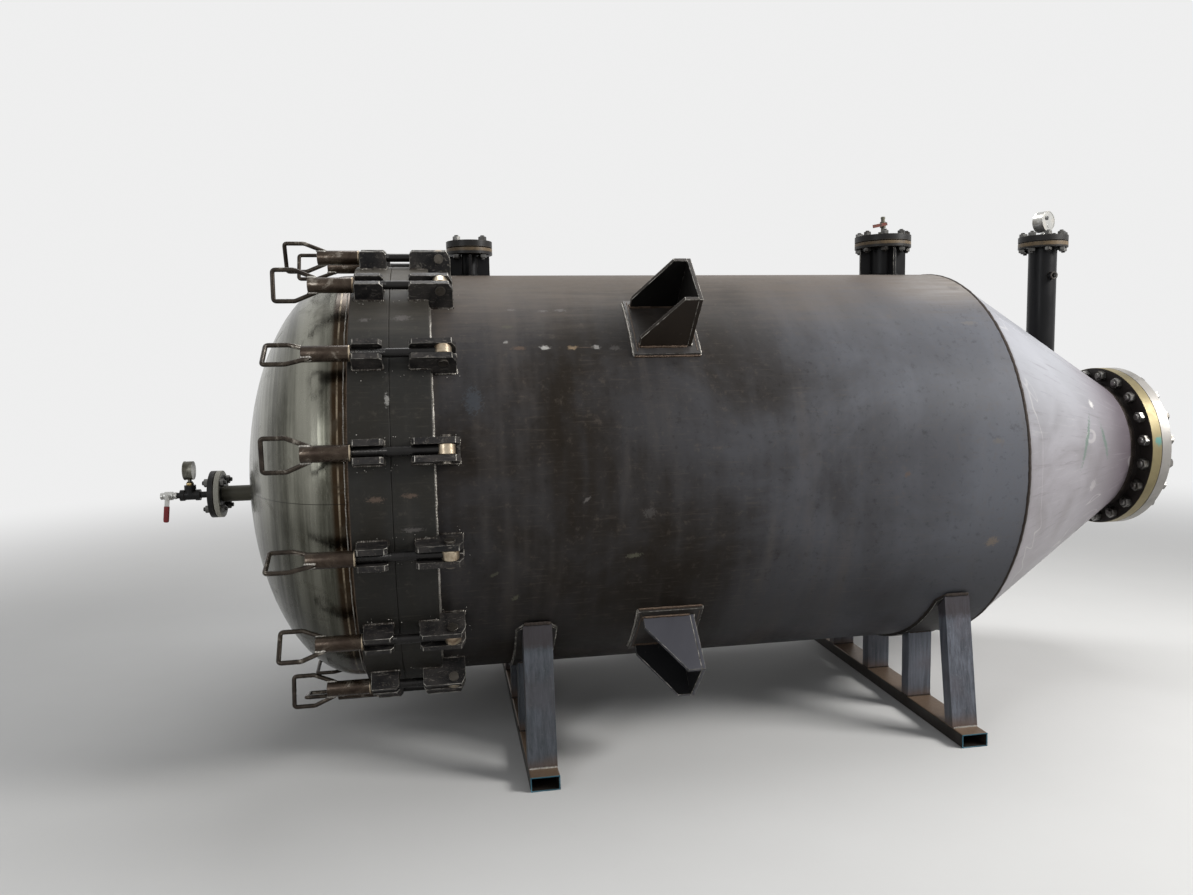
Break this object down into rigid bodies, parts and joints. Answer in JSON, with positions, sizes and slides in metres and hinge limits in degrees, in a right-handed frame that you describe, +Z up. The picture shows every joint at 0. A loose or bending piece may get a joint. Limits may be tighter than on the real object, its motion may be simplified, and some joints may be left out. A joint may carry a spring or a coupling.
{
  "type": "horizontal pressure tank",
  "caption": "Horizontal steel pressure tank with a domed head held by swing bolts, a cone to a blinded outlet, top nozzles, support brackets and welded cradles.",
  "frame": {"origin": "on the floor, under the middle of the whole length and on the tank's centre line", "axes": "+X along the tank from the domed head to the outlet flange; +Z up"},
  "size_m": [4.05, 1.739, 2.0305],
  "materials": {
    "shell_steel": "dark mill scale",
    "cone_steel": "light mill scale",
    "ring_steel": "dark mill scale",
    "head_steel": "ground bright",
    "lug_steel": "dark, bright edges",
    "pin_steel": "machined",
    "flange_steel": "black, oiled",
    "gasket": "tan fibre",
    "nozzle_steel": "black varnish",
    "valve_metal": "plated",
    "vent_lever_paint": "worn red",
    "gauge_case": "satin",
    "tee_iron": "black",
    "lever_grip": "red grip",
    "bracket_steel": "dark mill scale",
    "cradle_steel": "blue-grey mill scale",
    "clamp_steel": "dark with rust and bright wear"
  },
  "bodies": {
    "tank": {"shell": "shell_steel", "cone": "cone_steel", "body_ring": "ring_steel", "cover_ring": "ring_steel", "cover_dish": "head_steel", "cover_lugs": "lug_steel", "body_lugs": "lug_steel", "hinge_pins": "pin_steel", "outlet_flange": "flange_steel", "outlet_gasket": "gasket", "outlet_blind": "flange_steel", "nozzle_pipes": "nozzle_steel", "nozzle_gussets": "nozzle_steel", "nozzle_flanges": "flange_steel", "nozzle_blinds": "flange_steel", "vent_valve": "valve_metal", "top_gauge": "gauge_case", "test_tee": "tee_iron", "test_gauge": "gauge_case", "test_valve": "valve_metal", "bracket_pads": "bracket_steel", "bracket_gussets": "bracket_steel", "bracket_plates": "bracket_steel", "wear_strips": "cradle_steel", "cradle_legs": "cradle_steel", "cradle_posts": "cradle_steel", "cradle_beams": "cradle_steel"},
    "vent_handle": {"vent_lever": "vent_lever_paint"},
    "test_handle": {"test_lever": "lever_grip"},
    "bolt_01": {"swing_bolt_01": "clamp_steel"},
    "bolt_02": {"swing_bolt_02": "clamp_steel"},
    "bolt_03": {"swing_bolt_03": "clamp_steel"},
    "bolt_04": {"swing_bolt_04": "clamp_steel"},
    "bolt_05": {"swing_bolt_05": "clamp_steel"},
    "bolt_06": {"swing_bolt_06": "clamp_steel"},
    "bolt_07": {"swing_bolt_07": "clamp_steel"},
    "bolt_08": {"swing_bolt_08": "clamp_steel"},
    "bolt_09": {"swing_bolt_09": "clamp_steel"},
    "bolt_10": {"swing_bolt_10": "clamp_steel"},
    "bolt_11": {"swing_bolt_11": "clamp_steel"},
    "bolt_12": {"swing_bolt_12": "clamp_steel"},
    "bolt_13": {"swing_bolt_13": "clamp_steel"},
    "bolt_14": {"swing_bolt_14": "clamp_steel"},
    "bolt_15": {"swing_bolt_15": "clamp_steel"},
    "bolt_16": {"swing_bolt_16": "clamp_steel"}
  },
  "joints": [
    {"name": "bolt_01_hinge", "type": "hinge", "parent": "tank", "child": "bolt_01", "pos_m": [-0.96151, -0.16212, 1.81003], "axis": [0, 0.9808, 0.1951], "range_deg": [0, 100]},
    {"name": "bolt_02_hinge", "type": "hinge", "parent": "tank", "child": "bolt_02", "pos_m": [-0.96151, -0.46168, 1.68595], "axis": [0, 0.8315, 0.5556], "range_deg": [0, 100]},
    {"name": "bolt_03_hinge", "type": "hinge", "parent": "tank", "child": "bolt_03", "pos_m": [-0.96151, -0.69095, 1.45668], "axis": [0, 0.5556, 0.8315], "range_deg": [0, 100]},
    {"name": "bolt_04_hinge", "type": "hinge", "parent": "tank", "child": "bolt_04", "pos_m": [-0.96151, -0.81503, 1.15712], "axis": [0, 0.1951, 0.9808], "range_deg": [0, 100]},
    {"name": "bolt_05_hinge", "type": "hinge", "parent": "tank", "child": "bolt_05", "pos_m": [-0.96151, -0.81503, 0.83288], "axis": [0, -0.1951, 0.9808], "range_deg": [0, 100]},
    {"name": "bolt_06_hinge", "type": "hinge", "parent": "tank", "child": "bolt_06", "pos_m": [-0.96151, -0.69095, 0.53332], "axis": [0, -0.5556, 0.8315], "range_deg": [0, 100]},
    {"name": "bolt_07_hinge", "type": "hinge", "parent": "tank", "child": "bolt_07", "pos_m": [-0.96151, -0.46168, 0.30405], "axis": [0, -0.8315, 0.5556], "range_deg": [0, 30]},
    {"name": "bolt_08_hinge", "type": "hinge", "parent": "tank", "child": "bolt_08", "pos_m": [-0.96151, -0.16212, 0.17997], "axis": [0, -0.9808, 0.1951], "range_deg": [0, 15]},
    {"name": "bolt_09_hinge", "type": "hinge", "parent": "tank", "child": "bolt_09", "pos_m": [-0.96151, 0.16212, 0.17997], "axis": [0, -0.9808, -0.1951], "range_deg": [0, 15]},
    {"name": "bolt_10_hinge", "type": "hinge", "parent": "tank", "child": "bolt_10", "pos_m": [-0.96151, 0.46168, 0.30405], "axis": [0, -0.8315, -0.5556], "range_deg": [0, 30]},
    {"name": "bolt_11_hinge", "type": "hinge", "parent": "tank", "child": "bolt_11", "pos_m": [-0.96151, 0.69095, 0.53332], "axis": [0, -0.5556, -0.8315], "range_deg": [0, 100]},
    {"name": "bolt_12_hinge", "type": "hinge", "parent": "tank", "child": "bolt_12", "pos_m": [-0.96151, 0.81503, 0.83288], "axis": [0, -0.1951, -0.9808], "range_deg": [0, 100]},
    {"name": "bolt_13_hinge", "type": "hinge", "parent": "tank", "child": "bolt_13", "pos_m": [-0.96151, 0.81503, 1.15712], "axis": [0, 0.1951, -0.9808], "range_deg": [0, 100]},
    {"name": "bolt_14_hinge", "type": "hinge", "parent": "tank", "child": "bolt_14", "pos_m": [-0.96151, 0.69095, 1.45668], "axis": [0, 0.5556, -0.8315], "range_deg": [0, 100]},
    {"name": "bolt_15_hinge", "type": "hinge", "parent": "tank", "child": "bolt_15", "pos_m": [-0.96151, 0.46168, 1.68595], "axis": [0, 0.8315, -0.5556], "range_deg": [0, 100]},
    {"name": "bolt_16_hinge", "type": "hinge", "parent": "tank", "child": "bolt_16", "pos_m": [-0.96151, 0.16212, 1.81003], "axis": [0, 0.9808, -0.1951], "range_deg": [0, 100]},
    {"name": "vent_handle_turn", "type": "hinge", "parent": "tank", "child": "vent_handle", "pos_m": [0.89849, -0.02, 1.9685], "axis": [0, 1, 0], "range_deg": [0, 90]},
    {"name": "test_handle_turn", "type": "hinge", "parent": "tank", "child": "test_handle", "pos_m": [-1.99601, -0.02, 0.94], "axis": [0, 1, 0], "range_deg": [0, 90]}
  ]
}
